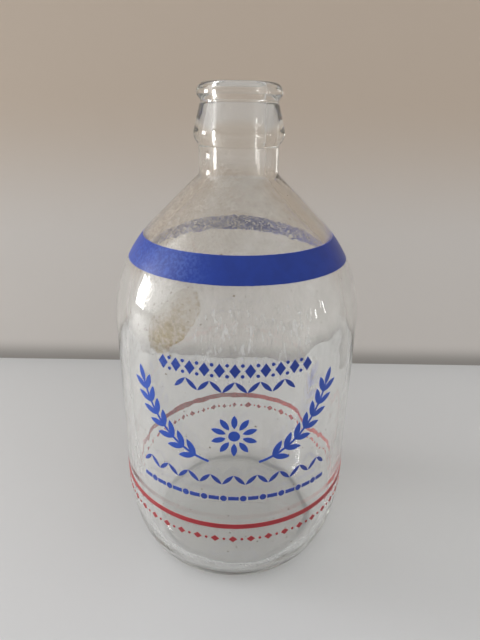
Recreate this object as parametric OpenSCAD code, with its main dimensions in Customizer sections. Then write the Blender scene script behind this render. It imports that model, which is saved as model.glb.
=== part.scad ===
// Half-litre milk bottle in clear glass, with a crown-cork finish and a fired enamel print.
// Millimetres, +Z up, origin at the centre of the ring that the bottle stands on.
// The front of the print faces -Y.

/* [Body] */
// Outside diameter of the straight wall
body_d = 85; // [78:0.5:92]
// Height of the straight wall, from the heel to the shoulder
wall_h = 61.8; // [58:0.1:75]
// Height of the rounded heel
heel_h = 29.5; // [26:0.5:34]
// Outside diameter of the ring that the bottle stands on
foot_d = 65.4; // [58:0.2:70]
// Width of the flat of that ring
foot_w = 2.4; // [1.5:0.1:4]
// Depth of the hollow under the base
pushup_h = 2.5; // [1.5:0.1:4]

/* [Shoulder] */
// Radius of the shoulder's curve, seen from the side
shoulder_curve = 47; // [42:0.5:50]
// Slope of the cone above that curve, in degrees from upright
shoulder_slope = 46.2; // [43:0.1:50]

/* [Neck] */
// Outside diameter of the neck
neck_d = 25.6; // [24:0.1:26]
// Height of the neck, from the cone's edge to the reinforcing ring
neck_h = 8.8; // [6:0.1:14]
// Radius of the hollow curve between the cone and the neck
neck_curve = 3; // [1.5:0.1:5]

/* [Crown finish] */
// Diameter of the reinforcing ring under the crown
ring_d = 28.8; // [28.2:0.1:30]
// Slope of the ring's lower side, in degrees from upright
ring_under = 38; // [32:0.5:42]
// Slope of the ring's upper side, in degrees from upright
ring_over = 14.7; // [13:0.1:17]
// Radius of the ring's crest
ring_curve = 4.2; // [2:0.1:4.4]
// Diameter at the bottom of the groove that the crown is crimped into
groove_d = 24.2; // [23.6:0.1:24.8]
// Height of the groove's floor
groove_h = 0.8; // [0.6:0.1:1.5]
// Step down into the groove from the ring's upper side
groove_step = 0.25; // [0.2:0.05:0.5]
// Diameter of the locking bead that the crown grips
bead_d = 26.6; // [26:0.1:27.2]
// Slope of the bead's underside, in degrees from upright
bead_under = 38; // [34:1:50]
// Height of the bead's upright land
bead_h = 0.7; // [0.6:0.1:1.6]
// Radius of the lip's outer edge
lip_curve = 2.8; // [2:0.1:3.4]
// Radius of the lip's inner edge
mouth_curve = 1.2; // [0.5:0.1:1.6]

/* [Glass thickness] */
// Thickness of the wall and the shoulder
wall_t = 3.8; // [2.6:0.1:4.5]
// Diameter of the bore through the mouth and the neck
bore_d = 17; // [15:0.1:18]
// Radius of the curve where the bore opens into the shoulder
flare_curve = 10; // [5:0.5:12]
// Thickness of the base at its centre
base_t = 3.6; // [3:0.1:6]
// Rise of the floor's middle above its edge
floor_rise = 1.5; // [0.5:0.1:3]
// Height of the rounded corner inside the heel
corner_h = 24; // [14:0.5:25]
// Width of the rounded corner inside the heel
corner_w = 7.5; // [7:0.5:14]

/* [Enamel] */
// Thickness of the fired enamel
film_t = 0.12; // [0.08:0.01:0.3]

/* [Shoulder band] */
// Height of the band's lower edge above the foot of the shoulder
band_rise = 22.6; // [20:0.1:24]
// Height of the band
band_h = 7.3; // [5:0.1:8]

/* [Lozenge row] */
// Distance from the foot of the shoulder down to the middle of the row
lozenge_drop = 1; // [0:0.1:3]
// Number of lozenges
lozenge_count = 11; // [7:2:13]
// Angle from one lozenge to the next, in degrees
lozenge_angle = 6; // [5.5:0.1:7]
// Width of a lozenge
lozenge_w = 3.2; // [2:0.1:3.4]
// Height of a lozenge
lozenge_h = 4.6; // [3:0.1:5]
// Diameter of the dots between the lozenges
lozenge_dot_d = 1.1; // [0.6:0.1:1.2]

/* [Leaf rows] */
// Distance from the foot of the shoulder down to the middle of the upper leaf row
leaf_row_drop = 6.4; // [6:0.1:8]
// Number of leaves in the upper row
leaf_row_count = 10; // [6:2:12]
// Height of the middle of the lower leaf row above the heel
lower_leaf_rise = 21.8; // [20:0.1:22]
// Number of leaves in the lower row
lower_leaf_count = 18; // [8:2:20]
// Angle from one leaf to the next in both rows, in degrees
leaf_angle = 5; // [4.9:0.1:5.6]
// Length of a leaf
leaf_l = 5; // [3:0.1:5]
// Width of a leaf
leaf_w = 1.4; // [0.8:0.1:1.6]
// Tilt of a leaf, in degrees from level
leaf_tilt = 45; // [45:1:60]

/* [Dash row] */
// Height of the middle of the row above the heel
dash_rise = 14.4; // [12:0.1:15]
// Number of dashes
dash_count = 11; // [5:2:13]
// Angle from one dash to the next, in degrees
dash_angle = 8.6; // [8.4:0.1:9.4]
// Length of a dash
dash_l = 3.4; // [2:0.1:3.6]
// Height of a dash
dash_h = 1.4; // [0.8:0.1:2]
// Diameter of the dots between the dashes
dash_dot_d = 2.2; // [1:0.1:2.3]

/* [Daisy] */
// Height of the daisy's middle above the heel
daisy_rise = 38.5; // [37:0.1:40]
// Number of petals
petal_count = 10; // [6:1:10]
// Length of a petal
petal_l = 4.6; // [3:0.1:5]
// Width of a petal
petal_w = 1.9; // [1.2:0.1:2]
// Radius at which the petals start
petal_start = 2.7; // [2.7:0.1:3.2]
// Diameter of the daisy's eye
eye_d = 3.6; // [2:0.1:4]

/* [Leafy sprays] */
// Angle from the front to the middle of each spray, in degrees
spray_angle = 30; // [28:0.5:32]
// Height of the middle of each spray above the heel
spray_rise = 37; // [36:0.1:38]
// Number of pairs of leaves on a spray
spray_pairs = 7; // [4:1:8]
// Length of a spray's leaf
spray_leaf_l = 6; // [4:0.1:6.4]
// Width of a spray's leaf
spray_leaf_w = 2.1; // [1.2:0.1:2.3]
// Thickness of a spray's stem
stem_w = 0.8; // [0.5:0.1:1.2]
// Radius of a spray's stem
stem_curve = 34; // [30:1:40]
// Angle that the stem turns through, in degrees
stem_turn = 56; // [50:1:58]
// Lean of the stem's middle, in degrees from upright
stem_lean = 45; // [40:1:50]
// Angle between the stem and its leaves, in degrees
spray_leaf_angle = 38; // [34:1:42]

/* [Red line and row] */
// Distance from the heel up to the middle of the red line
line_rise = 2.5; // [1.5:0.1:4]
// Height of the red line
line_h = 1.8; // [1:0.1:2.4]
// Distance from the heel down to the middle of the red row
red_row_drop = 3.1; // [2.8:0.1:5]
// Number of lozenges round the bottle
red_count = 44; // [24:2:48]
// Width of a red lozenge
red_w = 2.8; // [1.5:0.1:3]
// Height of a red lozenge
red_h = 2.6; // [1.5:0.1:3.4]
// Diameter of the red dots
red_dot_d = 1; // [0.6:0.1:1.2]

/* [Hidden] */

$fn = 180;
glass_colour = [0.80, 0.86, 0.83, 0.40];
blue_colour = [0.16, 0.22, 0.55];
red_colour = [0.66, 0.10, 0.15];

// Steps that each kind of curve in the glass outline is drawn with
curve_steps = 24;
heel_steps = 14;
corner_steps = 6;

body_r = body_d / 2;
foot_r = foot_d / 2;
neck_r = neck_d / 2;
groove_r = groove_d / 2;
bead_r = bead_d / 2;
bore_r = bore_d / 2;

// Share of the distance between leaf pairs that is left at the stem's tip
stem_end_share = 0.6;
// Turn by which the tip's leaf overlaps the stem, in degrees
tip_overlap = 0.5;

// How far the stamps for the rows, the daisy and the sprays reach into the wall
row_reach = 2;
daisy_reach = 3;
spray_reach = 12;

// Small blends at the corners of the crown finish
ring_foot_curve = 1.5;
groove_curve = 0.25;
bead_curve = 0.4;

// Heights, stacked from the standing ring up to the lip
shoulder_z = heel_h + wall_h;
shoulder_centre = [body_r - shoulder_curve, shoulder_z];
shoulder_end = on_circle(shoulder_centre, shoulder_curve, shoulder_slope);
neck_z = shoulder_end.y + (shoulder_end.x - neck_r) / tan(shoulder_slope);
ring_z = neck_z + neck_h;
// The crest's sides meet at a point just outside the crest itself
ring_r = ring_d / 2 - ring_curve
       + ring_curve * cos((ring_under - ring_over) / 2) / cos((ring_under + ring_over) / 2);
crest_z = ring_z + (ring_r - neck_r) / tan(ring_under);
step_z = crest_z + (ring_r - groove_r - groove_step) / tan(ring_over);
groove_z = step_z + groove_step;
bead_z = groove_z + groove_h;
land_z = bead_z + (bead_r - groove_r) / tan(bead_under);
top_z = land_z + bead_h + lip_curve;

// The inner cone lies wall_t under the outer one and meets the bore here
inner_shoulder_end = on_circle(shoulder_centre, shoulder_curve - wall_t, shoulder_slope);
flare_z = inner_shoulder_end.y + (inner_shoulder_end.x - bore_r) / tan(shoulder_slope);

inner_r = body_r - wall_t;
floor_top_z = pushup_h + base_t;
floor_edge_z = floor_top_z - floor_rise;
floor_r = inner_r - corner_w;
hollow_r = foot_r - foot_w;

function on_circle(centre, radius, angle) = centre + radius * [cos(angle), sin(angle)];

function arc(centre, radius, from, to, steps) =
    [for (i = [0:steps]) on_circle(centre, radius, from + (to - from) * i / steps)];

// A quarter of an ellipse, from straight below its centre to level with it
function quarter(centre, half_w, half_h, steps) =
    [for (i = [0:steps]) let (a = 90 - 90 * i / steps)
        [centre.x + half_w * cos(a), centre.y - half_h * sin(a)]];

// A shallow dome from its edge to its top on the axis
function dome(edge_r, edge_z, rise, steps) =
    [for (i = [0:steps]) let (x = edge_r * (1 - i / steps))
        [x, edge_z + rise * (1 - pow(x / edge_r, 2))]];

function backwards(list) = [for (i = [len(list) - 1:-1:0]) list[i]];

function unit(v) = v / norm(v);

// The curve of one radius that replaces a corner between two straight sides
function rounded(before, corner, after, radius) =
    let (u = unit(before - corner), v = unit(after - corner),
         half = acos(u * v) / 2,
         centre = corner + unit(u + v) * radius / sin(half),
         start = corner + u * radius / tan(half) - centre,
         end = corner + v * radius / tan(half) - centre,
         from = atan2(start.y, start.x),
         sweep = atan2(start.x * end.y - start.y * end.x, start * end))
    [for (i = [0:corner_steps]) on_circle(centre, radius, from + sweep * i / corner_steps)];

// A path through corners that are each given as [point, radius of its curve]
function rounded_path(corners) =
    [for (i = [1:len(corners) - 2])
        each rounded(corners[i - 1][0], corners[i][0], corners[i + 1][0], corners[i][1])];

finish_path = rounded_path([
    [shoulder_end, 0],
    [[neck_r, neck_z], neck_curve],
    [[neck_r, ring_z], ring_foot_curve],
    [[ring_r, crest_z], ring_curve],
    [[groove_r + groove_step, step_z], groove_curve],
    [[groove_r, groove_z], groove_curve],
    [[groove_r, bead_z], groove_curve],
    [[bead_r, land_z], bead_curve],
    [[bead_r, top_z], lip_curve],
    [[bore_r, top_z], mouth_curve],
    [[bore_r, flare_z], flare_curve],
    [inner_shoulder_end, 0],
]);

heel_path = quarter([foot_r, heel_h], body_r - foot_r, heel_h, heel_steps);
shoulder_path = arc(shoulder_centre, shoulder_curve, 0, shoulder_slope, curve_steps);
inner_shoulder_path =
    arc(shoulder_centre, shoulder_curve - wall_t, 0, shoulder_slope, curve_steps);
inner_heel_path = quarter([floor_r, floor_edge_z + corner_h], corner_w, corner_h, heel_steps);

// Radius and height of each point of the outside, from the foot to the top of the shoulder
skin_path = concat(heel_path, shoulder_path);
skin_radii = [for (p = skin_path) [p.y, p.x]];

function skin_r(z) = lookup(z, skin_radii);

function skin_heights(low, high) =
    concat([low], [for (p = skin_path) if (p.y > low && p.y < high) p.y], [high]);

// The glass itself: one moulded piece with its cavity, bore, finish and base
module bottle_glass() {
    color(glass_colour)
    rotate_extrude()
        polygon(concat(
            heel_path,
            shoulder_path,
            finish_path,
            backwards(inner_shoulder_path),
            backwards(inner_heel_path),
            dome(floor_r, floor_edge_z, floor_rise, corner_steps),
            backwards(dome(hollow_r, 0, pushup_h, corner_steps))
        ));
}

// A layer of enamel all round the bottle, on the glass between two heights
module film(low, high) {
    heights = skin_heights(low, high);
    rotate_extrude()
        polygon(concat(
            [for (z = heights) [skin_r(z), z]],
            [for (z = backwards(heights)) [skin_r(z) + film_t, z]]
        ));
}

// A flat shape pushed through the wall at one angle and height
module stamped(angle, z, reach = row_reach) {
    rotate(angle)
        translate([0, reach - body_r, z])
            rotate([90, 0, 0])
                linear_extrude(2 * reach) children();
}

module lozenge(w, h) {
    polygon([[-w / 2, 0], [0, -h / 2], [w / 2, 0], [0, h / 2]]);
}

// A pointed leaf that lies along +X with its stalk end at the origin
module leaf(length, width) {
    curve = (length * length / width + width) / 4;
    intersection() {
        translate([length / 2, curve - width / 2]) circle(curve);
        translate([length / 2, width / 2 - curve]) circle(curve);
    }
}

module dot(d) {
    circle(d / 2, $fn = 48);
}

// Angles of a row that is centred on the front
function row_angles(count, pitch) = [for (i = [0:count - 1]) (i - (count - 1) / 2) * pitch];

// Angles halfway between the copies of such a row
function gap_angles(count, pitch) = row_angles(count - 1, pitch);

module shoulder_band() {
    low = shoulder_z + band_rise;
    color(blue_colour) film(low, low + band_h);
}

module lozenge_row() {
    z = shoulder_z - lozenge_drop;
    dot_rise = (lozenge_h - lozenge_dot_d) / 2;
    color(blue_colour)
    intersection() {
        film(z - lozenge_h, z + lozenge_h);
        union() {
            for (a = row_angles(lozenge_count, lozenge_angle))
                stamped(a, z) lozenge(lozenge_w, lozenge_h);
            for (a = gap_angles(lozenge_count, lozenge_angle), side = [-1, 1])
                stamped(a, z + side * dot_rise) dot(lozenge_dot_d);
        }
    }
}

// A row of leaves that lean to the left and to the right in turn
module leaf_row(z, count) {
    angles = row_angles(count, leaf_angle);
    color(blue_colour)
    intersection() {
        film(z - leaf_l, z + leaf_l);
        union()
            for (i = [0:count - 1])
                stamped(angles[i], z)
                    rotate(i % 2 == 0 ? leaf_tilt : -leaf_tilt)
                        translate([-leaf_l / 2, 0]) leaf(leaf_l, leaf_w);
    }
}

module upper_leaf_row() {
    leaf_row(shoulder_z - leaf_row_drop, leaf_row_count);
}

module lower_leaf_row() {
    leaf_row(heel_h + lower_leaf_rise, lower_leaf_count);
}

module dash_row() {
    z = heel_h + dash_rise;
    color(blue_colour)
    intersection() {
        film(z - dash_h - dash_dot_d, z + dash_h + dash_dot_d);
        union() {
            for (a = row_angles(dash_count, dash_angle))
                stamped(a, z) square([dash_l, dash_h], center = true);
            for (a = gap_angles(dash_count, dash_angle))
                stamped(a, z) dot(dash_dot_d);
        }
    }
}

module daisy() {
    z = heel_h + daisy_rise;
    tall = petal_start + petal_l + eye_d;
    color(blue_colour)
    intersection() {
        film(z - tall, z + tall);
        stamped(0, z, daisy_reach) {
            dot(eye_d);
            for (i = [0:petal_count - 1])
                rotate(90 + 360 * i / petal_count)
                    translate([petal_start, 0]) leaf(petal_l, petal_w);
        }
    }
}

// A stem that curves up and outwards to the right, with pairs of leaves and a leaf at its tip
module spray_shape() {
    half = stem_turn / 2;
    lean = -stem_lean;
    stem_outer = stem_curve + stem_w / 2;
    translate(-on_circle([0, 0], stem_curve, lean)) {
        intersection() {
            difference() {
                circle(stem_outer);
                circle(stem_curve - stem_w / 2);
            }
            polygon([[0, 0],
                     on_circle([0, 0], 2 * stem_outer, lean - half),
                     on_circle([0, 0], 2 * stem_outer, lean + half)]);
        }
        for (i = [0:spray_pairs - 1], side = [-1, 1]) {
            a = lean - half + stem_turn * (i + 1) / (spray_pairs + stem_end_share);
            translate(on_circle([0, 0], stem_curve, a))
                rotate(a + 90 + side * spray_leaf_angle) leaf(spray_leaf_l, spray_leaf_w);
        }
        translate(on_circle([0, 0], stem_curve, lean + half - tip_overlap))
            rotate(lean + half + 90) leaf(spray_leaf_l, spray_leaf_w);
    }
}

module spray(side) {
    z = heel_h + spray_rise;
    tall = stem_curve / 2 + spray_leaf_l;
    color(blue_colour)
    intersection() {
        film(z - tall, z + tall);
        stamped(side * spray_angle, z, spray_reach) mirror([side < 0 ? 1 : 0, 0]) spray_shape();
    }
}

module left_spray() {
    spray(-1);
}

module right_spray() {
    spray(1);
}

module red_line() {
    z = heel_h + line_rise;
    color(red_colour) film(z - line_h / 2, z + line_h / 2);
}

module red_row() {
    z = heel_h - red_row_drop;
    step = 360 / red_count;
    color(red_colour)
    intersection() {
        film(z - red_h, z + red_h);
        union()
            for (i = [0:red_count - 1]) {
                stamped(i * step, z) lozenge(red_w, red_h);
                stamped((i + 0.5) * step, z) dot(red_dot_d);
            }
    }
}

bottle_glass();
shoulder_band();
lozenge_row();
upper_leaf_row();
daisy();
left_spray();
right_spray();
lower_leaf_row();
dash_row();
red_line();
red_row();
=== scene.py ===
"""Looks of a half-litre glass milk bottle with a blue and red enamel print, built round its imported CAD.

The bottle is drawn in millimetres and the stage in metres. Angles round the bottle are 0 at its front
and grow towards its right.
"""

import math

import bpy
import numpy as np
from mathutils import Matrix, Vector, noise


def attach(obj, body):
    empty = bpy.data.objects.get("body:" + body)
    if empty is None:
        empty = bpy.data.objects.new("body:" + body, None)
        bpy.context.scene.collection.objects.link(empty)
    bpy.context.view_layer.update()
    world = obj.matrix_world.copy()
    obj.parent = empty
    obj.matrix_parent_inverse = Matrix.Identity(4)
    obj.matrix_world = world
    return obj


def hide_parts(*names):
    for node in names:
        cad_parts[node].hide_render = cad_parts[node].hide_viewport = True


MM = 0.001

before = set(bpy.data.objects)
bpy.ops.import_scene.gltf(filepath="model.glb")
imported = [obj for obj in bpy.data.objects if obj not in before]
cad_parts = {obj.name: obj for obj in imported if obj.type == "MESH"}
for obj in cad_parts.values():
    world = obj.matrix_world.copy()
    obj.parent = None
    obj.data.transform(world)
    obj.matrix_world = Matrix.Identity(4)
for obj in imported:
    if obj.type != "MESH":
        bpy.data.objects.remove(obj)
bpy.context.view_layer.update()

# ---------------------------------------------------------------- sizes, in millimetres, as in part.scad

BODY_R = 42.5
HEEL_H = 29.5
SHOULDER_Z = 91.3
FOOT_R = 32.7
FOOT_W = 2.4
PUSHUP_H = 2.5
SHOULDER_CURVE = 47.0
SLOPE = math.radians(46.2)
NECK_R = 12.8
NECK_H = 8.8
NECK_CURVE = 3.0
RING_R = 14.4
RING_UNDER = math.radians(38)
RING_OVER = math.radians(14.7)
RING_CURVE = 4.2
GROOVE_R = 12.1
GROOVE_H = 0.8
GROOVE_STEP = 0.25
BEAD_R = 13.3
BEAD_UNDER = math.radians(38)
BEAD_H = 0.7
LIP_CURVE = 2.8
MOUTH_CURVE = 1.2
RING_FOOT_CURVE = 1.5
GROOVE_CURVE = 0.25
BEAD_CURVE = 0.4
WALL_T = 3.8
BORE_R = 8.5
FLARE_CURVE = 10.0
BASE_T = 3.6
FLOOR_RISE = 1.5
CORNER_H = 24.0
CORNER_W = 7.5
FILM_T = 0.12

# The enamel is fused to the glass, so its back lies this far inside the wall
FUSED = 0.04

# ---------------------------------------------------------------- sizes that only the visual model has

# How finely the glass is cut: steps on its long curves, the longest straight stretch, columns round it
HEEL_STEPS = 24
SHOULDER_STEPS = 32
INNER_SHOULDER_STEPS = 28
INNER_HEEL_STEPS = 20
DOME_STEPS = 10
LONGEST_STRETCH = 2.5
SEGMENTS = 224

# Waves of the glass, as (height, start of the noise, width across the bottle, length along its axis)
INNER_WAVES = [(0.26, 0, 17, 30), (0.02, 90, 6, 9), (0.01, 180, 2.5, 5)]
OUTER_WAVES = [(0.015, 0, 8, 11)]

# The inside is even this far down from the top, and its waves grow over the stretch below that
EVEN_DEPTH = 22
EVEN_FADE = 20

# A heavier place in the wall: its extra thickness, its angle and half-width in degrees, and its top and
# foot, each as (height where it is gone, height where it is full)
THICK_T = 1.1
THICK_ANGLE = 46.5
THICK_SPREAD = 12.5
THICK_TOP = (106.0, 80.0)
THICK_FOOT = (50.0, 84.0)

# Mould seams, as (angle, width, height), and the extra columns at a body seam; all but height in degrees
FINISH_SEAM = (-24.0, 1.6, 0.05)
BODY_SEAM = (90.0, 0.45, 0.04)
SEAM_COLUMNS = (-0.6, -0.3, 0.0, 0.3, 0.6)

# Parting lines round the reinforcing ring, as (place on the axis, height)
PARTING_LINES = [(147.0, 0.05), (146.0, 0.04)]
PARTING_W = 0.25

# Unevenness of the enamel's edges, and how many of its waves there are to a millimetre
RAGGED = 0.05
RAGGED_WAVES = 1.4

# A hoop of enamel: its columns, the unevenness of its edges and the circle that this is read on
HOOP_COLUMNS = 360
HOOP_RAGGED = 0.06
HOOP_NOISE_R = 30

# A leaf's or a lozenge's tip is cut off at this half-width
TIP = 0.05

# The blue band and the red line, which is wider at the rear by this much on each side
BAND_LOW = SHOULDER_Z + 22.6
BAND_HIGH = BAND_LOW + 7.3
RED_LINE_Z = HEEL_H + 2.5
RED_LINE_W = 1.8
RED_REAR_SPREAD = 0.35


# ---------------------------------------------------------------- outline of the glass


def on_circle(centre, radius, angle):
    return np.array([centre[0] + radius * math.cos(angle), centre[1] + radius * math.sin(angle)])


def arc(centre, radius, start, end, steps):
    return [on_circle(centre, radius, start + (end - start) * i / steps) for i in range(steps + 1)]


def quarter(centre, half_w, half_h, steps):
    """A quarter of an ellipse, from straight below its centre to level with it."""
    turns = [math.pi / 2 * (1 - i / steps) for i in range(steps + 1)]
    return [
        np.array([centre[0] + half_w * math.cos(t), centre[1] - half_h * math.sin(t)])
        for t in turns
    ]


def dome(edge_r, edge_z, rise, steps):
    """A shallow dome from its edge to its top on the axis."""
    return [
        np.array([edge_r * (1 - i / steps), edge_z + rise * (1 - (1 - i / steps) ** 2)])
        for i in range(steps + 1)
    ]


def rounded(before, corner, after, radius, steps):
    """The curve of one radius that replaces a corner between two straight sides."""
    u = (before - corner) / np.linalg.norm(before - corner)
    v = (after - corner) / np.linalg.norm(after - corner)
    half = math.acos(np.clip(u @ v, -1, 1)) / 2
    middle = (u + v) / np.linalg.norm(u + v)
    centre = corner + middle * radius / math.sin(half)
    a = corner + u * radius / math.tan(half) - centre
    b = corner + v * radius / math.tan(half) - centre
    sweep = math.atan2(a[0] * b[1] - a[1] * b[0], a @ b)
    start = math.atan2(a[1], a[0])
    return arc(centre, radius, start, start + sweep, steps)


def rounded_path(corners):
    """A path through corners that are each given as (point, radius of its curve, steps)."""
    path = []
    for before, here, after in zip(corners, corners[1:], corners[2:]):
        path += rounded(before[0], here[0], after[0], here[1], here[2])
    return path


def filled(path, longest):
    """The path with points added so that no stretch of it is longer than that."""
    out = [path[0]]
    for a, b in zip(path, path[1:]):
        n = max(1, math.ceil(np.linalg.norm(b - a) / longest))
        out += [a + (b - a) * k / n for k in range(1, n + 1)]
    return out


shoulder_centre = (BODY_R - SHOULDER_CURVE, SHOULDER_Z)
shoulder_end = on_circle(shoulder_centre, SHOULDER_CURVE, SLOPE)
neck_z = shoulder_end[1] + (shoulder_end[0] - NECK_R) / math.tan(SLOPE)
ring_z = neck_z + NECK_H
crest_r = RING_R - RING_CURVE + RING_CURVE * math.cos((RING_UNDER - RING_OVER) / 2) / math.cos(
    (RING_UNDER + RING_OVER) / 2
)
crest_z = ring_z + (crest_r - NECK_R) / math.tan(RING_UNDER)
step_z = crest_z + (crest_r - GROOVE_R - GROOVE_STEP) / math.tan(RING_OVER)
groove_z = step_z + GROOVE_STEP
bead_z = groove_z + GROOVE_H
land_z = bead_z + (BEAD_R - GROOVE_R) / math.tan(BEAD_UNDER)
top_z = land_z + BEAD_H + LIP_CURVE
inner_end = on_circle(shoulder_centre, SHOULDER_CURVE - WALL_T, SLOPE)
flare_z = inner_end[1] + (inner_end[0] - BORE_R) / math.tan(SLOPE)
inner_r = BODY_R - WALL_T
floor_edge_z = PUSHUP_H + BASE_T - FLOOR_RISE
floor_r = inner_r - CORNER_W

finish_path = rounded_path(
    [
        (shoulder_end, 0, 0),
        (np.array([NECK_R, neck_z]), NECK_CURVE, 8),
        (np.array([NECK_R, ring_z]), RING_FOOT_CURVE, 4),
        (np.array([crest_r, crest_z]), RING_CURVE, 8),
        (np.array([GROOVE_R + GROOVE_STEP, step_z]), GROOVE_CURVE, 3),
        (np.array([GROOVE_R, groove_z]), GROOVE_CURVE, 3),
        (np.array([GROOVE_R, bead_z]), GROOVE_CURVE, 3),
        (np.array([BEAD_R, land_z]), BEAD_CURVE, 3),
        (np.array([BEAD_R, top_z]), LIP_CURVE, 12),
        (np.array([BORE_R, top_z]), MOUTH_CURVE, 6),
        (np.array([BORE_R, flare_z]), FLARE_CURVE, 10),
        (inner_end, 0, 0),
    ]
)
heel_path = quarter((FOOT_R, HEEL_H), BODY_R - FOOT_R, HEEL_H, HEEL_STEPS)
shoulder_path = arc(shoulder_centre, SHOULDER_CURVE, 0, SLOPE, SHOULDER_STEPS)
inner_shoulder = arc(shoulder_centre, SHOULDER_CURVE - WALL_T, 0, SLOPE, INNER_SHOULDER_STEPS)
inner_heel = quarter((floor_r, floor_edge_z + CORNER_H), CORNER_W, CORNER_H, INNER_HEEL_STEPS)
floor_path = dome(floor_r, floor_edge_z, FLOOR_RISE, DOME_STEPS)
hollow_path = dome(FOOT_R - FOOT_W, 0, PUSHUP_H, DOME_STEPS)

glass_path = filled(
    hollow_path[::-1]
    + heel_path
    + shoulder_path
    + finish_path
    + inner_shoulder[::-1]
    + inner_heel[::-1]
    + floor_path,
    LONGEST_STRETCH,
)
skin = np.array(heel_path + shoulder_path)


def skin_r(z):
    """Radius of the outside at a height, from the foot to the top of the shoulder."""
    return float(np.interp(z, skin[:, 1], skin[:, 0]))


# ---------------------------------------------------------------- the glass


def add_piece(name, verts, faces, material, node):
    """A smooth mesh of the object, from points in millimetres, which stands for its CAD node."""
    mesh = bpy.data.meshes.new(name)
    mesh.from_pydata([tuple(np.asarray(v) * MM) for v in verts], [], faces)
    mesh.validate()
    mesh.shade_smooth()
    mesh.materials.append(material)
    piece = bpy.data.objects.new(name, mesh)
    bpy.context.scene.collection.objects.link(piece)
    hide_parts(node)
    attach(piece, "root")
    return piece


def eased(value, low, high):
    """0 at the first limit and 1 at the second, with a soft start and end."""
    t = min(1.0, max(0.0, (value - low) / (high - low)))
    return t * t * (3 - 2 * t)


def unevenness(waves, x, y, z, share=1.0):
    """How far the waves lift the glass at a place, or this share of it."""
    return sum(
        height * share * noise.noise(Vector((x / across, y / across, (z + start) / along)))
        for height, start, across, along in waves
    )


def thick_place(angle, z):
    """The heavier place in the blown wall, on its right, flat in the middle of its width."""
    around = math.exp(-(((angle - THICK_ANGLE) / THICK_SPREAD) ** 4))
    return THICK_T * around * eased(z, *THICK_TOP) * eased(z, *THICK_FOOT)


def seam_height(angle, z):
    """How far the mould's seams and parting lines stand out of the glass at an angle and a height."""
    seam, width, rise = FINISH_SEAM if z > neck_z else BODY_SEAM
    off = (angle - seam + 90) % 180 - 90
    parting = sum(h * math.exp(-(((z - place) / PARTING_W) ** 2)) for place, h in PARTING_LINES)
    return rise * math.exp(-((off / width) ** 2)) + parting


def glass_push(inside, angle, x, y, z):
    """How far a place on the turned outline moves out of the glass; the angle is in degrees."""
    if inside:
        share = min(1.0, max(0.0, (top_z - EVEN_DEPTH - z) / EVEN_FADE))
        return unevenness(INNER_WAVES, x, y, z, share) + thick_place(angle, z)
    return unevenness(OUTER_WAVES, x, y, z) + seam_height(angle, z)


def column_angles():
    """The angles of the lathe's columns in radians, closer together at the body's seams."""
    angles = {i * 360 / SEGMENTS for i in range(SEGMENTS)}
    for seam in (BODY_SEAM[0], BODY_SEAM[0] + 180):
        angles |= {(seam + off) % 360 for off in SEAM_COLUMNS}
    return [math.radians(a) for a in sorted(round(a, 4) for a in angles)]


def on_standing_ring(r, z):
    """Whether a place on the outside touches the floor, give or take a little."""
    lift, slack = 0.01, 0.1
    return z < lift and r > FOOT_R - FOOT_W - slack


def lathe_glass(material):
    """The bottle as one closed mesh: a smooth moulded outside and an uneven blown inside.

    Its points carry the value inner_skin, 1 on the inside, which the glass material reads.
    """
    path = glass_path
    angles = column_angles()
    n, m = len(path), len(angles)
    lip = int(np.argmax([p[1] for p in path]))
    verts = [(0, 0, path[0][1])]
    inner_skin = [0.0]
    for i in range(1, n - 1):
        r, z = path[i]
        tangent = path[i + 1] - path[i - 1]
        tangent = tangent / np.linalg.norm(tangent)
        inside = i > lip
        for a in angles:
            push = glass_push(inside, math.degrees(a), r * math.sin(a), -r * math.cos(a), z)
            moved_r, moved_z = r + tangent[1] * push, z - tangent[0] * push
            if not inside and on_standing_ring(r, z):
                moved_z = z
            verts.append((moved_r * math.sin(a), -moved_r * math.cos(a), min(moved_z, top_z)))
            inner_skin.append(float(inside))
    verts.append((0, 0, path[-1][1]))
    inner_skin.append(1.0)
    top, last = 1 + (n - 3) * m, len(verts) - 1
    faces = []
    for j in range(m):
        k = (j + 1) % m
        faces.append((0, 1 + k, 1 + j))
        for i in range(n - 3):
            a, b = 1 + i * m, 1 + (i + 1) * m
            faces.append((a + j, a + k, b + k, b + j))
        faces.append((top + j, top + k, last))
    piece = add_piece("bottle", verts, faces, material, "bottle_glass")
    piece.data.attributes.new("inner_skin", "FLOAT", "POINT").data.foreach_set("value", inner_skin)


# ---------------------------------------------------------------- print


def ragged(point, angle, z):
    """The point with the slight unevenness of a screen-printed edge."""
    x, y = point
    layer, other_layer = 3.1, Vector((0, 0, 9))
    sample = Vector(((x + angle * BODY_R) * RAGGED_WAVES, (y + z) * RAGGED_WAVES, layer))
    other = sample + other_layer
    return (x + RAGGED * noise.noise(sample), y + RAGGED * noise.noise(other))


def on_wall(point, angle, z, lift):
    """A flat point pushed straight through the wall at this angle and height, and lifted off it."""
    x, h = point
    h += z
    r = skin_r(h)
    a = angle + math.asin(x / r)
    r += lift
    return (r * math.sin(a), -r * math.cos(a), h)


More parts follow.
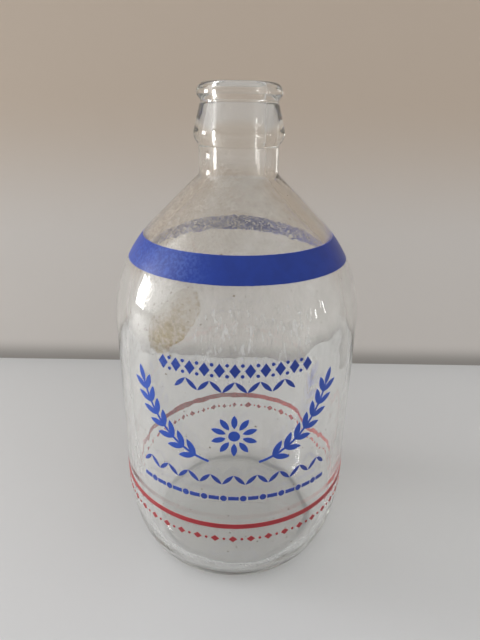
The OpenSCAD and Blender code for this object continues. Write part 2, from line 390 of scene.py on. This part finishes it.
class Print:
    """Patches of enamel on the outside of the bottle, collected into one mesh."""

    def __init__(self):
        self.verts, self.faces = [], []

    def strip(self, left, right, angle, z, thickness=FILM_T):
        """A closed film between two edges that are lists of as many flat points."""
        rough = [ragged(p, angle, z) for p in left], [ragged(p, angle, z) for p in right]
        start, n = len(self.verts), len(left)
        for lift in (thickness, -FUSED * thickness / FILM_T):
            for edge in rough:
                self.verts += [on_wall(p, angle, z, lift) for p in edge]
        # The first points of the front's left and right edge and of the back's
        fl, fr, bl, br = (start + n * k for k in range(4))
        for i in range(n - 1):
            self.faces.append((fl + i, fr + i, fr + i + 1, fl + i + 1))
            self.faces.append((bl + i, bl + i + 1, br + i + 1, br + i))
            self.faces.append((fl + i, fl + i + 1, bl + i + 1, bl + i))
            self.faces.append((fr + i, br + i, br + i + 1, fr + i + 1))
        self.faces.append((fl, bl, br, fr))
        e = n - 1
        self.faces.append((fl + e, fr + e, br + e, bl + e))

    def make(self, name, node, material):
        """One piece of all the patches, flat shaded because a film's edges are sharp."""
        piece = add_piece(name, self.verts, self.faces, material, node)
        piece.data.shade_flat()


def turned(points, angle, shift=(0.0, 0.0)):
    """The flat points turned about their origin and then moved."""
    c, s = math.cos(angle), math.sin(angle)
    return [(shift[0] + c * x - s * y, shift[1] + s * x + c * y) for x, y in points]


# Each of these shapes is given as the two edges of a strip


def lozenge(w, h, steps=8):
    xs = [w * (i / steps - 0.5) for i in range(steps + 1)]
    ys = [max(TIP, h / 2 * (1 - abs(x) * 2 / w)) for x in xs]
    return [(x, y) for x, y in zip(xs, ys)], [(x, -y) for x, y in zip(xs, ys)]


def dash(w, h, steps=4):
    xs = [w * (i / steps - 0.5) for i in range(steps + 1)]
    return [(x, h / 2) for x in xs], [(x, -h / 2) for x in xs]


def dot(d, steps=10):
    turns = [math.pi * (1 - i / steps) for i in range(steps + 1)]
    ends = [(d / 2 * math.cos(t), max(TIP / 2, d / 2 * math.sin(t))) for t in turns]
    return ends, [(x, -y) for x, y in ends]


def leaf(length, width, angle=0.0, shift=(0.0, 0.0), steps=12):
    """A pointed leaf between two circular arcs, turned about its stalk end and moved there."""
    curve = (length * length / width + width) / 4
    xs = [length * (1 - math.cos(math.pi * i / steps)) / 2 for i in range(steps + 1)]
    ys = [max(TIP, math.sqrt(curve**2 - (x - length / 2) ** 2) - curve + width / 2) for x in xs]
    return (
        turned([(x, y) for x, y in zip(xs, ys)], angle, shift),
        turned([(x, -y) for x, y in zip(xs, ys)], angle, shift),
    )


def row_angles(count, step):
    """The angles, in radians, of so many places that are spaced evenly about the front."""
    return [math.radians((i - (count - 1) / 2) * step) for i in range(count)]


def lozenge_row(p):
    """Lozenges with a dot above and a dot below in each gap."""
    z, width, height, dot_d = SHOULDER_Z - 1.0, 3.2, 4.6, 1.1
    count, step = 11, 6.0
    for a in row_angles(count, step):
        p.strip(*lozenge(width, height), a, z)
    for a in row_angles(count - 1, step):
        for side in (-1, 1):
            p.strip(*dot(dot_d), a, z + side * (height - dot_d) / 2)


def leaf_row(p, z, count):
    """Leaves that lean to one side and the other in turn."""
    length, width, lean, step = 5.0, 1.4, 45, 5.0
    for i, a in enumerate(row_angles(count, step)):
        tilt = math.radians(lean if i % 2 == 0 else -lean)
        shift = (-length / 2 * math.cos(tilt), -length / 2 * math.sin(tilt))
        p.strip(*leaf(length, width, tilt, shift), a, z)


def upper_leaf_row(p):
    leaf_row(p, SHOULDER_Z - 6.4, 10)


def lower_leaf_row(p):
    leaf_row(p, HEEL_H + 21.8, 18)


def dash_row(p):
    """Dashes with a dot in each gap."""
    z, length, width, dot_d = HEEL_H + 14.4, 3.4, 1.4, 2.2
    count, step = 11, 8.6
    for a in row_angles(count, step):
        p.strip(*dash(length, width), a, z)
    for a in row_angles(count - 1, step):
        p.strip(*dot(dot_d), a, z)


def daisy(p):
    """A dot with petals round it."""
    z, dot_d = HEEL_H + 38.5, 3.6
    count, start_r, length, width = 10, 2.7, 4.6, 1.9
    p.strip(*dot(dot_d, steps=16), 0.0, z)
    for i in range(count):
        a = math.pi / 2 + 2 * math.pi * i / count
        start = (start_r * math.cos(a), start_r * math.sin(a))
        p.strip(*leaf(length, width, a, start), 0.0, z)


def left_spray(p):
    spray(p, -1)


def right_spray(p):
    spray(p, 1)


def spray(p, side):
    """A curved stem with pairs of leaves, to the left (side -1) or to the right (side 1)."""
    z, middle = HEEL_H + 37.0, math.radians(side * 30.0)
    curve, turn, lean = 34.0, math.radians(56), math.radians(-45)
    stem_w, stem_steps, end_overlap = 0.8, 28, math.radians(0.5)
    pairs, length, width, splay, end_gap = 7, 6.0, 2.1, math.radians(38), 0.6
    # Films that overlap lie at different heights, as shares of the full thickness
    stem_share, leaf_shares, end_share = 0.85, {-1: 1.0, 1: 0.9}, 0.95
    origin = on_circle((0, 0), -curve, lean)
    start, end = lean - turn / 2, lean + turn / 2

    def add(edges, share):
        left, right = ([(side * x, y) for x, y in edge] for edge in edges)
        p.strip(*((left, right) if side > 0 else (right, left)), middle, z, FILM_T * share)

    turns = [start + (end - start) * i / stem_steps for i in range(stem_steps + 1)]
    add([[on_circle(origin, curve + k * stem_w / 2, t) for t in turns] for k in (-1, 1)], stem_share)
    for i in range(pairs):
        a = start + turn * (i + 1) / (pairs + end_gap)
        foot = on_circle(origin, curve, a)
        for k, share in leaf_shares.items():
            add(leaf(length, width, a + math.pi / 2 + k * splay, foot), share)
    foot = on_circle(origin, curve, end - end_overlap)
    add(leaf(length, width, end + math.pi / 2, foot), end_share)


def red_row(p):
    """Lozenges and dots by turns all round the bottle."""
    z, count, width, height, dot_d = HEEL_H - 3.1, 44, 2.8, 2.6, 1.0
    for i in range(count):
        p.strip(*lozenge(width, height, steps=6), 2 * math.pi * i / count, z)
        p.strip(*dot(dot_d, steps=8), 2 * math.pi * (i + 0.5) / count, z)


def hoop(low, high, name, node, material, steps, rear_spread=0.0):
    """A line of enamel all round the bottle between two heights, which may spread at the rear."""
    rows = [(k / steps, FILM_T) for k in range(steps + 1)]
    rows += [(1 - k / steps, -FUSED) for k in range(steps + 1)]
    other_layer = Vector((0, 0, 50))
    verts, faces = [], []
    for share, lift in rows:
        for j in range(HOOP_COLUMNS):
            a = 2 * math.pi * j / HOOP_COLUMNS
            sample = Vector((math.sin(a) * HOOP_NOISE_R, math.cos(a) * HOOP_NOISE_R, 0.0))
            spread = rear_spread * (1 - math.cos(a)) / 2
            lower = low - spread + HOOP_RAGGED * noise.noise(sample)
            upper = high + spread + HOOP_RAGGED * noise.noise(sample + other_layer)
            z = lower + (upper - lower) * share
            r = skin_r(z) + lift
            verts.append((r * math.sin(a), -r * math.cos(a), z))
    n = len(rows)
    for i in range(n):
        a, b = i * HOOP_COLUMNS, (i + 1) % n * HOOP_COLUMNS
        for j in range(HOOP_COLUMNS):
            k = (j + 1) % HOOP_COLUMNS
            faces.append((a + j, a + k, b + k, b + j))
    piece = add_piece(name, verts, faces, material, node)
    mark_sharp_rows(piece, steps)


def mark_sharp_rows(piece, steps):
    """Sharp edges where a hoop's face meets its thin sides."""
    rows = {0, steps, steps + 1, 2 * steps + 1}
    for edge in piece.data.edges:
        a, b = (v // HOOP_COLUMNS for v in edge.vertices)
        edge.use_edge_sharp = a == b and a in rows


# ---------------------------------------------------------------- materials

# Colours, as linear red, green and blue
WHITE = (1.0, 1.0, 1.0)
GLASS_TINT = (0.58, 0.63, 0.50)
DULL_TINT = (0.86, 0.82, 0.74)
HAZE_TINT = (0.83, 0.79, 0.74)
STAIN_TINT = (0.40, 0.25, 0.03)
SPECK_TINT = (0.30, 0.23, 0.16)
BLUE = (0.008, 0.045, 0.36)
LIGHT_BLUE = (0.014, 0.080, 0.52)
RUBBED_BLUE = (0.08, 0.17, 0.60)
# This colour is the back of the blue print: a paler painted light, for light shining through the enamel
# where it is seen through the glass
PAINTED_BACKLIT_BLUE = (0.30, 0.33, 1.0)
RED = (0.42, 0.009, 0.020)
RUBBED_RED = (0.55, 0.20, 0.20)
# This colour is the back of the red print: a paler painted light, for light shining through the enamel
# where it is seen through the glass
PAINTED_BACKLIT_RED = (0.90, 0.10, 0.09)

# What light keeps on its way through one skin of the glass to a shadowed place
GLASS_SHADOW = (0.82, 0.825, 0.82)

GLASS_IOR = 1.52
GLASS_DENSITY = 9.0
ENAMEL_IOR = 1.5

# Where the marks are round the bottle, in degrees: their middle, how far from it they are full, and gone
HAZE_SIDE = (-72, 30, 85)
SCRATCH_SIDE = (8, 12, 34)
RUBBED_SIDE = (-48, 12, 40)
REAR = (180, 60, 105)
REAR_LEFT = (-140, 15, 60)
REAR_RIGHT = (130, 15, 40)

# Where they are up the bottle, in millimetres: the start, the stretch where they are full, and the end
HAZE_HEIGHT = (108, 120, 138, 147)
HEEL_RUB_HEIGHT = (6, 9, 15, 22)
RUNS_HEIGHT = (20, 62, 108, 116)
SCRATCH_HEIGHT = (82, 90, 106, 112)
BAND_HEIGHT = (BAND_LOW - 0.4, BAND_LOW + 1.0, BAND_HIGH - 1.0, BAND_HIGH + 0.4)


class Nodes:
    """Short forms for building the node tree of a material or the world."""

    def __init__(self, owner, coords="Object"):
        self.owner = owner
        owner.use_nodes = True
        self.tree = owner.node_tree
        self.tree.nodes.clear()
        self.coords = self.add("ShaderNodeTexCoord").outputs[coords]

    def add(self, kind, **settings):
        node = self.tree.nodes.new(kind)
        for key, value in settings.items():
            setattr(node, key, value)
        return node

    def put(self, value, socket):
        """Links an output to a socket, or sets a number or a colour on it."""
        if isinstance(value, bpy.types.NodeSocket):
            self.tree.links.new(value, socket)
        elif isinstance(value, tuple):
            socket.default_value = (*value, 1)
        else:
            socket.default_value = value

    def math(self, operation, *values, clamp=False):
        node = self.add("ShaderNodeMath", operation=operation, use_clamp=clamp)
        for value, socket in zip(values, node.inputs):
            self.put(value, socket)
        return node.outputs[0]

    def plus(self, total, *others):
        for value in others:
            total = self.math("ADD", total, value)
        return total

    def times(self, product, *others):
        for value in others:
            product = self.math("MULTIPLY", product, value)
        return product

    def minus(self, a, b):
        return self.math("SUBTRACT", a, b)

    def ramp(self, value, low, high, to_low=0.0, to_high=1.0, kind="SMOOTHSTEP"):
        """The value's place between two limits, from one result at the low limit to one at the high."""
        node = self.add("ShaderNodeMapRange", clamp=True, interpolation_type=kind)
        for v, socket in zip((value, low, high, to_low, to_high), node.inputs):
            self.put(v, socket)
        return node.outputs[0]

    def noise(self, scale, detail=3.0, roughness=0.5, stretch=(1, 1, 1), offset=(0, 0, 0)):
        """Noise from 0 to 1; scale counts its waves in a metre."""
        mapping = self.add("ShaderNodeMapping")
        self.put(self.coords, mapping.inputs["Vector"])
        mapping.inputs["Scale"].default_value = stretch
        mapping.inputs["Location"].default_value = offset
        node = self.add("ShaderNodeTexNoise")
        self.put(mapping.outputs[0], node.inputs["Vector"])
        node.inputs["Scale"].default_value = scale
        node.inputs["Detail"].default_value = detail
        node.inputs["Roughness"].default_value = roughness
        return node.outputs["Fac"]

    def grain(self, scale):
        """A random value from 0 to 1 for each of the small cells; scale counts them in a metre."""
        node = self.add("ShaderNodeTexVoronoi")
        self.put(self.coords, node.inputs["Vector"])
        node.inputs["Scale"].default_value = scale
        cell = self.add("ShaderNodeSeparateColor")
        self.put(node.outputs["Color"], cell.inputs[0])
        return cell.outputs[0]

    def mix(self, share, a, b):
        """From one colour to another; a mix node keeps its sockets for colours at these places."""
        node = self.add("ShaderNodeMix", data_type="RGBA")
        self.put(share, node.inputs[0])
        self.put(a, node.inputs[6])
        self.put(b, node.inputs[7])
        return node.outputs[2]

    def axes(self):
        node = self.add("ShaderNodeSeparateXYZ")
        self.put(self.coords, node.inputs[0])
        return node.outputs

    def bump(self, height, strength, distance):
        node = self.add("ShaderNodeBump")
        self.put(height, node.inputs["Height"])
        node.inputs["Strength"].default_value = strength
        node.inputs["Distance"].default_value = distance
        return node.outputs[0]

    def principled(self, **values):
        node = self.add("ShaderNodeBsdfPrincipled")
        for key, value in values.items():
            self.put(value, node.inputs[key.replace("_", " ")])
        return node.outputs[0]

    def cleared(self, shader, share, colour=WHITE):
        """The shader with this share of it see-through."""
        clear = self.add("ShaderNodeBsdfTransparent")
        self.put(colour, clear.inputs["Color"])
        mixed = self.add("ShaderNodeMixShader")
        for value, socket in zip((share, shader, clear.outputs[0]), mixed.inputs):
            self.put(value, socket)
        return mixed.outputs[0]

    def finish(self, surface, volume=None):
        world = isinstance(self.owner, bpy.types.World)
        out = self.add("ShaderNodeOutputWorld" if world else "ShaderNodeOutputMaterial")
        self.put(surface, out.inputs["Surface"])
        if volume is not None:
            self.put(volume, out.inputs["Volume"])
        return self.owner


def new_material(name):
    return Nodes(bpy.data.materials.new(name))


def inner_skin_mask(n):
    """1 on the inside of the bottle and 0 on its outside."""
    return n.add("ShaderNodeAttribute", attribute_name="inner_skin").outputs["Fac"]


def outwardness(n):
    """Above 0 where a surface faces away from the bottle's axis, below 0 where it faces it."""
    x, y, _ = n.axes()
    normal = n.add("ShaderNodeSeparateXYZ")
    n.put(n.add("ShaderNodeNewGeometry").outputs["True Normal"], normal.inputs[0])
    return n.plus(n.times(x, normal.outputs[0]), n.times(y, normal.outputs[1]))


def side_mask(n, angle, full, none):
    """1 within so many degrees of an angle round the bottle, falling to 0 at the second."""
    x, y, _ = n.axes()
    a = math.radians(angle)
    along = n.plus(n.times(x, math.sin(a)), n.times(y, -math.cos(a)))
    radius = n.math("SQRT", n.plus(n.times(x, x), n.times(y, y)))
    least_radius = 1e-4
    cosine = n.math("DIVIDE", along, n.math("MAXIMUM", radius, least_radius))
    return n.ramp(cosine, math.cos(math.radians(none)), math.cos(math.radians(full)))


def height_mask(n, low, full_low, full_high, high):
    """1 between two heights in millimetres, falling to 0 outside them."""
    z = n.axes()[2]
    up = n.ramp(z, low * MM, full_low * MM)
    down = n.ramp(z, full_high * MM, high * MM, 1.0, 0.0)
    return n.times(up, down)


def blob(n, around, height, lean, length, width):
    """A slanted oval on the wall, with its middle and its half-sizes in millimetres.

    Gives the distance from its middle, ragged and 1 on its rim, and the places along and over it.
    """
    x, y, z = n.axes()
    u = n.minus(n.times(n.math("ARCTAN2", x, n.times(y, -1.0)), BODY_R), around)
    v = n.minus(n.times(z, 1 / MM), height)
    c, s = math.cos(math.radians(lean)), math.sin(math.radians(lean))
    along = n.plus(n.times(u, c / length), n.times(v, s / length))
    over = n.plus(n.times(u, -s / width), n.times(v, c / width))
    far = n.math("SQRT", n.plus(n.times(along, along), n.times(over, over)))
    ragged_by, size_of_mm = 9.0, 0.08
    raggedness = n.times(n.minus(n.noise(160, 4, 0.6), 0.5), ragged_by, size_of_mm)
    return n.plus(far, raggedness), along, over


def dried_patch(n):
    """A tan residue dried onto the inside below the band, stronger at its rim and its lower end."""
    rim, along, over = blob(n, around=-21.3, height=101.3, lean=48, length=12.5, width=6.5)
    patch = n.times(n.ramp(rim, 1.02, 0.92), n.ramp(over, -0.1, 0.9, 1.0, 0.3))
    patch = n.times(patch, n.ramp(along, -0.9, 0.9, 1.3, 0.75))
    dried_edge = n.ramp(rim, 0.80, 0.97, 0.85, 1.25)
    patch = n.math("MULTIPLY", patch, dried_edge, clamp=True)
    fine = n.ramp(n.noise(800, 5, 0.75), 0.40, 0.58, 0.5, 1.0)
    broad = n.ramp(n.noise(110, 2), 0.40, 0.58, 0.75, 1.0)
    inside = n.math("GREATER_THAN", inner_skin_mask(n), 0.5)
    return n.times(patch, n.times(fine, broad), inside)


def dried_film(n):
    """A pale film round that residue."""
    rim, _, _ = blob(n, around=-26.0, height=104.0, lean=55, length=18.0, width=12.0)
    speckle = n.ramp(n.noise(900, 5, 0.7), 0.40, 0.64, 0.5, 1.0)
    inside = n.math("GREATER_THAN", inner_skin_mask(n), 0.5)
    return n.times(n.ramp(rim, 1.2, 0.4), speckle, inside)


def shoulder_haze(n, frost):
    """Dust in blotches on the shoulder, and frosted glass on its left."""
    dust, frosting, least = 0.06, 0.20, 0.02
    blotches = n.times(n.ramp(n.noise(220, 4, 0.6), 0.35, 0.65), dust)
    frosted = n.times(side_mask(n, *HAZE_SIDE), n.plus(n.times(frost, frosting), least))
    return n.times(n.plus(blotches, least, frosted), height_mask(n, *HAZE_HEIGHT))


def front_scratches(n):
    """Fine pale upright scratches on the front, below the band."""
    marks = n.noise(650, 4, 0.7, stretch=(1, 1, 0.25), offset=(2, 5, 1))
    marks = n.times(n.ramp(marks, 0.50, 0.66, 0.0, 0.36), height_mask(n, *SCRATCH_HEIGHT))
    return n.times(marks, side_mask(n, *SCRATCH_SIDE))


def dried_runs(n):
    """Upright streaks that water has left on the wall."""
    streaks = n.ramp(n.noise(150, 4, 0.6, stretch=(1, 1, 0.35)), 0.48, 0.66, 0.07, 0.15)
    return n.times(streaks, height_mask(n, *RUNS_HEIGHT))


def surface_waves(n, inner):
    """The unevenness of the surface, which the inside has more of."""
    ripple_share = 0.2
    waves = n.noise(150, 2, 0.5, stretch=(1, 1, 0.6))
    ripples = n.noise(330, 2, 0.5, stretch=(1, 1, 0.45), offset=(3, 1, 2))
    return n.plus(waves, n.times(ripples, inner, ripple_share))


def glass_material():
    """Clear glass with a faint tint, and the haze, scuffs, scratches, residue and specks on it."""
    # How much each mark dulls the glass, and the least that any of it is dulled
    heel_dulling, film_dulling, stain_dulling, least_dulling = 0.02, 0.22, 0.15, 0.02
    # A cell of the grain is a speck above this, and more often so on the film
    speck_limit, film_specks = 0.9993, 0.03
    dull_roughness, film_roughness = 0.05, 0.2
    n = new_material("clear_glass")
    inner = inner_skin_mask(n)
    frost = n.ramp(n.noise(900, 3, 0.75), 0.46, 0.60)
    haze = shoulder_haze(n, frost)
    heel_rub = n.times(height_mask(n, *HEEL_RUB_HEIGHT), n.times(frost, heel_dulling))
    scratches = front_scratches(n)
    runs = n.math("MAXIMUM", n.plus(dried_runs(n), scratches), least_dulling)
    stain, film = dried_patch(n), dried_film(n)
    dulled = n.times(n.plus(haze, heel_rub, runs), n.ramp(inner, 0.0, 1.0, 1.0, 0.5))
    dulled = n.plus(dulled, n.times(film, film_dulling))
    speckle = n.plus(n.grain(1900), n.times(film, film_specks))
    specks = n.math("GREATER_THAN", speckle, speck_limit)

    tint = n.mix(n.ramp(dulled, 0.0, 0.5), WHITE, DULL_TINT)
    tint = n.mix(n.ramp(haze, 0.0, 0.12), tint, HAZE_TINT)
    tint = n.mix(n.ramp(scratches, 0.0, 0.2), tint, WHITE)
    tint = n.mix(stain, tint, STAIN_TINT)
    tint = n.mix(specks, tint, SPECK_TINT)
    shader = n.principled(
        Base_Color=tint,
        Roughness=n.plus(n.times(dulled, dull_roughness), n.times(film, film_roughness)),
        IOR=GLASS_IOR,
        Transmission_Weight=n.minus(n.minus(1.0, dulled), n.times(stain, stain_dulling)),
        Normal=n.bump(surface_waves(n, inner), strength=0.10, distance=0.0006),
    )
    lamp_share = n.add("ShaderNodeLightPath").outputs["Is Shadow Ray"]
    absorb = n.add("ShaderNodeVolumeAbsorption")
    n.put(GLASS_TINT, absorb.inputs["Color"])
    n.put(GLASS_DENSITY, absorb.inputs["Density"])
    return n.finish(n.cleared(shader, lamp_share, GLASS_SHADOW), absorb.outputs[0])


def rear_holes(n, worn_share, frayed):
    """Where the enamel of the rear has worn off, which is in small dots."""
    left_wear, right_wear, edge_wear = 0.12, 0.16, 0.35
    left = n.times(side_mask(n, *REAR_LEFT), left_wear)
    right = n.times(side_mask(n, *REAR_RIGHT), right_wear)
    thin = n.plus(n.ramp(n.noise(700, 4, 0.7), 0.30, 0.70, 0.25, 0.75), n.plus(left, right))
    if frayed:
        kept = n.times(height_mask(n, *frayed), edge_wear)
        thin = n.plus(thin, n.minus(edge_wear, kept))
    holes = n.ramp(n.plus(n.grain(2500), thin), 1.14, 1.26)
    return n.times(holes, n.times(side_mask(n, *REAR), worn_share))


def enamel_material(name, colour, rubbed, inner, worn_share, frayed=None):
    """Fired enamel: satin, slightly uneven and rubbed thin; its back, seen through the glass, has a paler
    colour, painted light that stands in for light shining through the enamel.

    frayed gives the heights between which a band has kept its rear, as height_mask reads them.
    """
    chalk_share, darker_share = 0.5, 0.86
    n = new_material(name)
    chalky = n.ramp(n.noise(1000, 4, 0.7, offset=(4, 2, 1)), 0.42, 0.62)
    scuff = n.times(side_mask(n, *RUBBED_SIDE), n.times(chalky, chalk_share * worn_share))
    darker = tuple(darker_share * c for c in colour)
    base = n.mix(n.ramp(n.noise(260, 4, 0.6), 0.3, 0.7), colour, darker)
    base = n.mix(scuff, base, rubbed)
    # Faces towards the axis get the paler back colour, painted light for light coming through the enamel
    # from outside
    base = n.mix(n.math("LESS_THAN", outwardness(n), 0.0), base, inner)
    shader = n.principled(
        Base_Color=base,
        Roughness=n.ramp(scuff, 0.0, 1.0, 0.36, 0.6),
        IOR=ENAMEL_IOR,
        Normal=n.bump(n.noise(2000, 3, 0.6), strength=0.15, distance=0.00005),
    )
    return n.finish(n.cleared(shader, rear_holes(n, worn_share, frayed)))


def shown_share(n):
    """1 for what the camera sees, straight or in the glass, and 0 for light on the bottle."""
    path = n.add("ShaderNodeLightPath").outputs
    share = n.plus(path["Is Camera Ray"], path["Is Glossy Ray"])
    return n.math("ADD", share, path["Is Transmission Ray"], clamp=True)


def floor_material():
    """A pale floor with painted shade that greys it towards the wall, and a painted glow, seen only by
    the camera and in the glass, that grows towards the right and the back.
    """
    near, far, painted_glow_colour = (0.66, 0.665, 0.672), (0.60, 0.60, 0.60), (1.0, 1.0, 0.99)
    n = new_material("floor")
    x, y, _ = n.axes()
    # Painted light: the floor's glow grows towards the right and the back
    painted_glow = n.ramp(n.plus(x, n.times(y, 0.5)), -0.02, 0.22, 0.05, 0.11)
    shader = n.principled(
        # Painted shade: the floor's colour greys towards the wall
        Base_Color=n.mix(n.ramp(y, -0.08, 0.12), near, far),
        Roughness=0.5,
        Emission_Color=painted_glow_colour,
        Emission_Strength=n.times(shown_share(n), painted_glow),
    )
    return n.finish(shader)


def wall_material():
    """The backdrop, which is clear from behind so that a camera there sees the bottle; it has a painted
    shadow along its foot and a painted glow that is stronger towards the right.
    """
    low, high, painted_shadow_colour = (0.51, 0.482, 0.452), (0.455, 0.394, 0.331), (0.27, 0.255, 0.235)
    low_glow, high_glow = (0.17, 0.158, 0.148), (0.14, 0.108, 0.082)
    n = new_material("backdrop")
    x, _, z = n.axes()
    height = n.ramp(z, 0.08, 0.17)
    # Painted shadow: the foot is darker and glows less, for the shade where the wall meets the floor
    foot = n.ramp(z, 0.0, 0.016)
    # Painted light: the wall's glow is stronger towards the right
    painted_glow = n.times(shown_share(n), n.ramp(x, -0.3, 0.3, 0.85, 1.0))
    shader = n.principled(
        Base_Color=n.mix(foot, painted_shadow_colour, n.mix(height, low, high)),
        Roughness=0.9,
        Emission_Color=n.mix(height, low_glow, high_glow),
        Emission_Strength=n.times(painted_glow, n.ramp(foot, 0.0, 1.0, 0.45, 1.0)),
    )
    return n.finish(n.cleared(shader, n.add("ShaderNodeNewGeometry").outputs["Backfacing"]))


def studio_world():
    """An even pale surround for diffuse light; what the glass shows is darker to the front."""
    shown_front, shown_rear = (0.45, 0.435, 0.42), (0.52, 0.51, 0.49)
    light_level, light_above = (0.26, 0.26, 0.26), (0.90, 0.90, 0.90)
    n = Nodes(bpy.data.worlds.new("studio"), "Generated")
    _, y, z = n.axes()
    shown = n.mix(n.ramp(y, -0.9, 0.3), shown_front, shown_rear)
    light = n.mix(n.ramp(z, 0.0, 1.0, kind="LINEAR"), light_level, light_above)
    diffuse = n.add("ShaderNodeLightPath").outputs["Is Diffuse Ray"]
    background = n.add("ShaderNodeBackground")
    n.put(n.mix(diffuse, shown, light), background.inputs["Color"])
    return n.finish(background.outputs[0])


# ---------------------------------------------------------------- the object

glass = glass_material()
blue = enamel_material("blue_enamel", BLUE, RUBBED_BLUE, PAINTED_BACKLIT_BLUE, 1.0, frayed=BAND_HEIGHT)
light_blue = enamel_material("light_blue_enamel", LIGHT_BLUE, RUBBED_BLUE, PAINTED_BACKLIT_BLUE, 0.5)
red = enamel_material("red_enamel", RED, RUBBED_RED, PAINTED_BACKLIT_RED, 0.4)

lathe_glass(glass)

hoop(BAND_LOW, BAND_HIGH, "blue_band", "shoulder_band", blue, steps=8)
hoop(
    RED_LINE_Z - RED_LINE_W / 2,
    RED_LINE_Z + RED_LINE_W / 2,
    "red_hoop",
    "red_line",
    red,
    steps=2,
    rear_spread=RED_REAR_SPREAD,
)

PATCHES = [
    ("lozenges", "lozenge_row", blue, "blue_enamel", lozenge_row),
    ("upper_leaves", "upper_leaf_row", blue, "blue_enamel", upper_leaf_row),
    ("daisy_flower", "daisy", light_blue, "blue_enamel", daisy),
    ("spray_left", "left_spray", light_blue, "blue_enamel", left_spray),
    ("spray_right", "right_spray", light_blue, "blue_enamel", right_spray),
    ("lower_leaves", "lower_leaf_row", blue, "blue_enamel", lower_leaf_row),
    ("dashes", "dash_row", blue, "blue_enamel", dash_row),
    ("red_lozenges", "red_row", red, "red_enamel", red_row),
]
for name, node, enamel, slot, draw in PATCHES:
    patch = Print()
    draw(patch)
    patch.make(name, node, enamel)

# ---------------------------------------------------------------- stage, in metres

FLOOR_REACH = 2.0
WALL_Y = 0.135
WALL_REACH = 0.5
WALL_H = 0.8


def add_plane(name, corners, material):
    mesh = bpy.data.meshes.new(name)
    mesh.from_pydata(corners, [], [(0, 1, 2, 3)])
    mesh.materials.append(material)
    plane = bpy.data.objects.new(name, mesh)
    bpy.context.scene.collection.objects.link(plane)


floor_corners = [(-1, -1), (1, -1), (1, 1), (-1, 1)]
add_plane("floor", [(x * FLOOR_REACH, y * FLOOR_REACH, 0) for x, y in floor_corners], floor_material())
wall_corners = [(-1, 0), (1, 0), (1, 1), (-1, 1)]
add_plane("wall", [(x * WALL_REACH, WALL_Y, z * WALL_H) for x, z in wall_corners], wall_material())

# ---------------------------------------------------------------- light, in metres

LAMPS_AIM = Vector((0, 0, 0.09))
WINDOW_COLOUR = (1.0, 0.99, 0.975)
LEFT_WALL_COLOUR = (1.0, 0.995, 0.985)

# The bright wall at the left is rectangles within each other, as (size, share of its brightness)
LEFT_WALL_LAMPS = [(0.6, 0.30), (0.85, 0.30), (1.15, 0.25), (1.5, 0.15)]

# Two narrow lights at the right, as (name, azimuth, elevation, height)
SMALL_LAMPS = [("small_right_a", 75, 3.5, 0.18), ("small_right_b", 84, 4.5, 0.22)]


def add_area(name, azimuth, elevation, distance, width, height, radiance, colour=WHITE):
    """A soft rectangular lamp that faces the bottle's middle; radiance is its brightness."""
    a, e = math.radians(azimuth), math.radians(elevation)
    back = Vector((math.sin(a) * math.cos(e), -math.cos(a) * math.cos(e), math.sin(e)))
    data = bpy.data.lights.new(name, "AREA")
    data.shape = "RECTANGLE"
    data.size, data.size_y = width, height
    data.energy = radiance * width * height * math.pi
    data.color = colour
    lamp = bpy.data.objects.new(name, data)
    lamp.location = LAMPS_AIM + back * distance
    lamp.rotation_mode = "QUATERNION"
    lamp.rotation_quaternion = back.to_track_quat("Z", "Y")
    lamp.visible_camera = False
    bpy.context.scene.collection.objects.link(lamp)


add_area(
    "window",
    azimuth=-96,
    elevation=7,
    distance=0.8,
    width=0.18,
    height=0.23,
    radiance=18.0,
    colour=WINDOW_COLOUR,
)
for size, share in LEFT_WALL_LAMPS:
    add_area(
        "left_wall",
        azimuth=-98,
        elevation=26,
        distance=0.9,
        width=0.69 * size,
        height=0.58 * size,
        radiance=5.9 * share,
        colour=LEFT_WALL_COLOUR,
    )
for name, azimuth, elevation, height in SMALL_LAMPS:
    add_area(name, azimuth, elevation, distance=1.6, width=0.03, height=height, radiance=18.0)
bpy.context.scene.world = studio_world()

# ---------------------------------------------------------------- camera, fitted to the bottle's outline

CAMERA_PLACE = (1.205, -165.08, 158.01)
CAMERA_DOWN = 22.916
CAMERA_ROLL = 0.91
SENSOR_W = 36.0
FOCAL_PX = 490
LONG_SIDE_PX = 640

camera_data = bpy.data.cameras.new("camera")
camera_data.sensor_fit = "AUTO"
camera_data.sensor_width = SENSOR_W
camera_data.lens = FOCAL_PX / LONG_SIDE_PX * SENSOR_W
camera_data.clip_start = 0.01
camera = bpy.data.objects.new("camera", camera_data)
camera.location = [c * MM for c in CAMERA_PLACE]
tilt = Matrix.Rotation(math.radians(90 - CAMERA_DOWN), 4, "X")
roll = Matrix.Rotation(math.radians(CAMERA_ROLL), 4, "Z")
camera.rotation_euler = (tilt @ roll).to_euler()
bpy.context.scene.collection.objects.link(camera)

scene = bpy.context.scene
scene.camera = camera
scene.view_settings.view_transform = "Standard"
scene.cycles.max_bounces = 24
scene.cycles.transmission_bounces = 24
scene.cycles.glossy_bounces = 12
scene.cycles.transparent_max_bounces = 32
scene.cycles.caustics_reflective = False
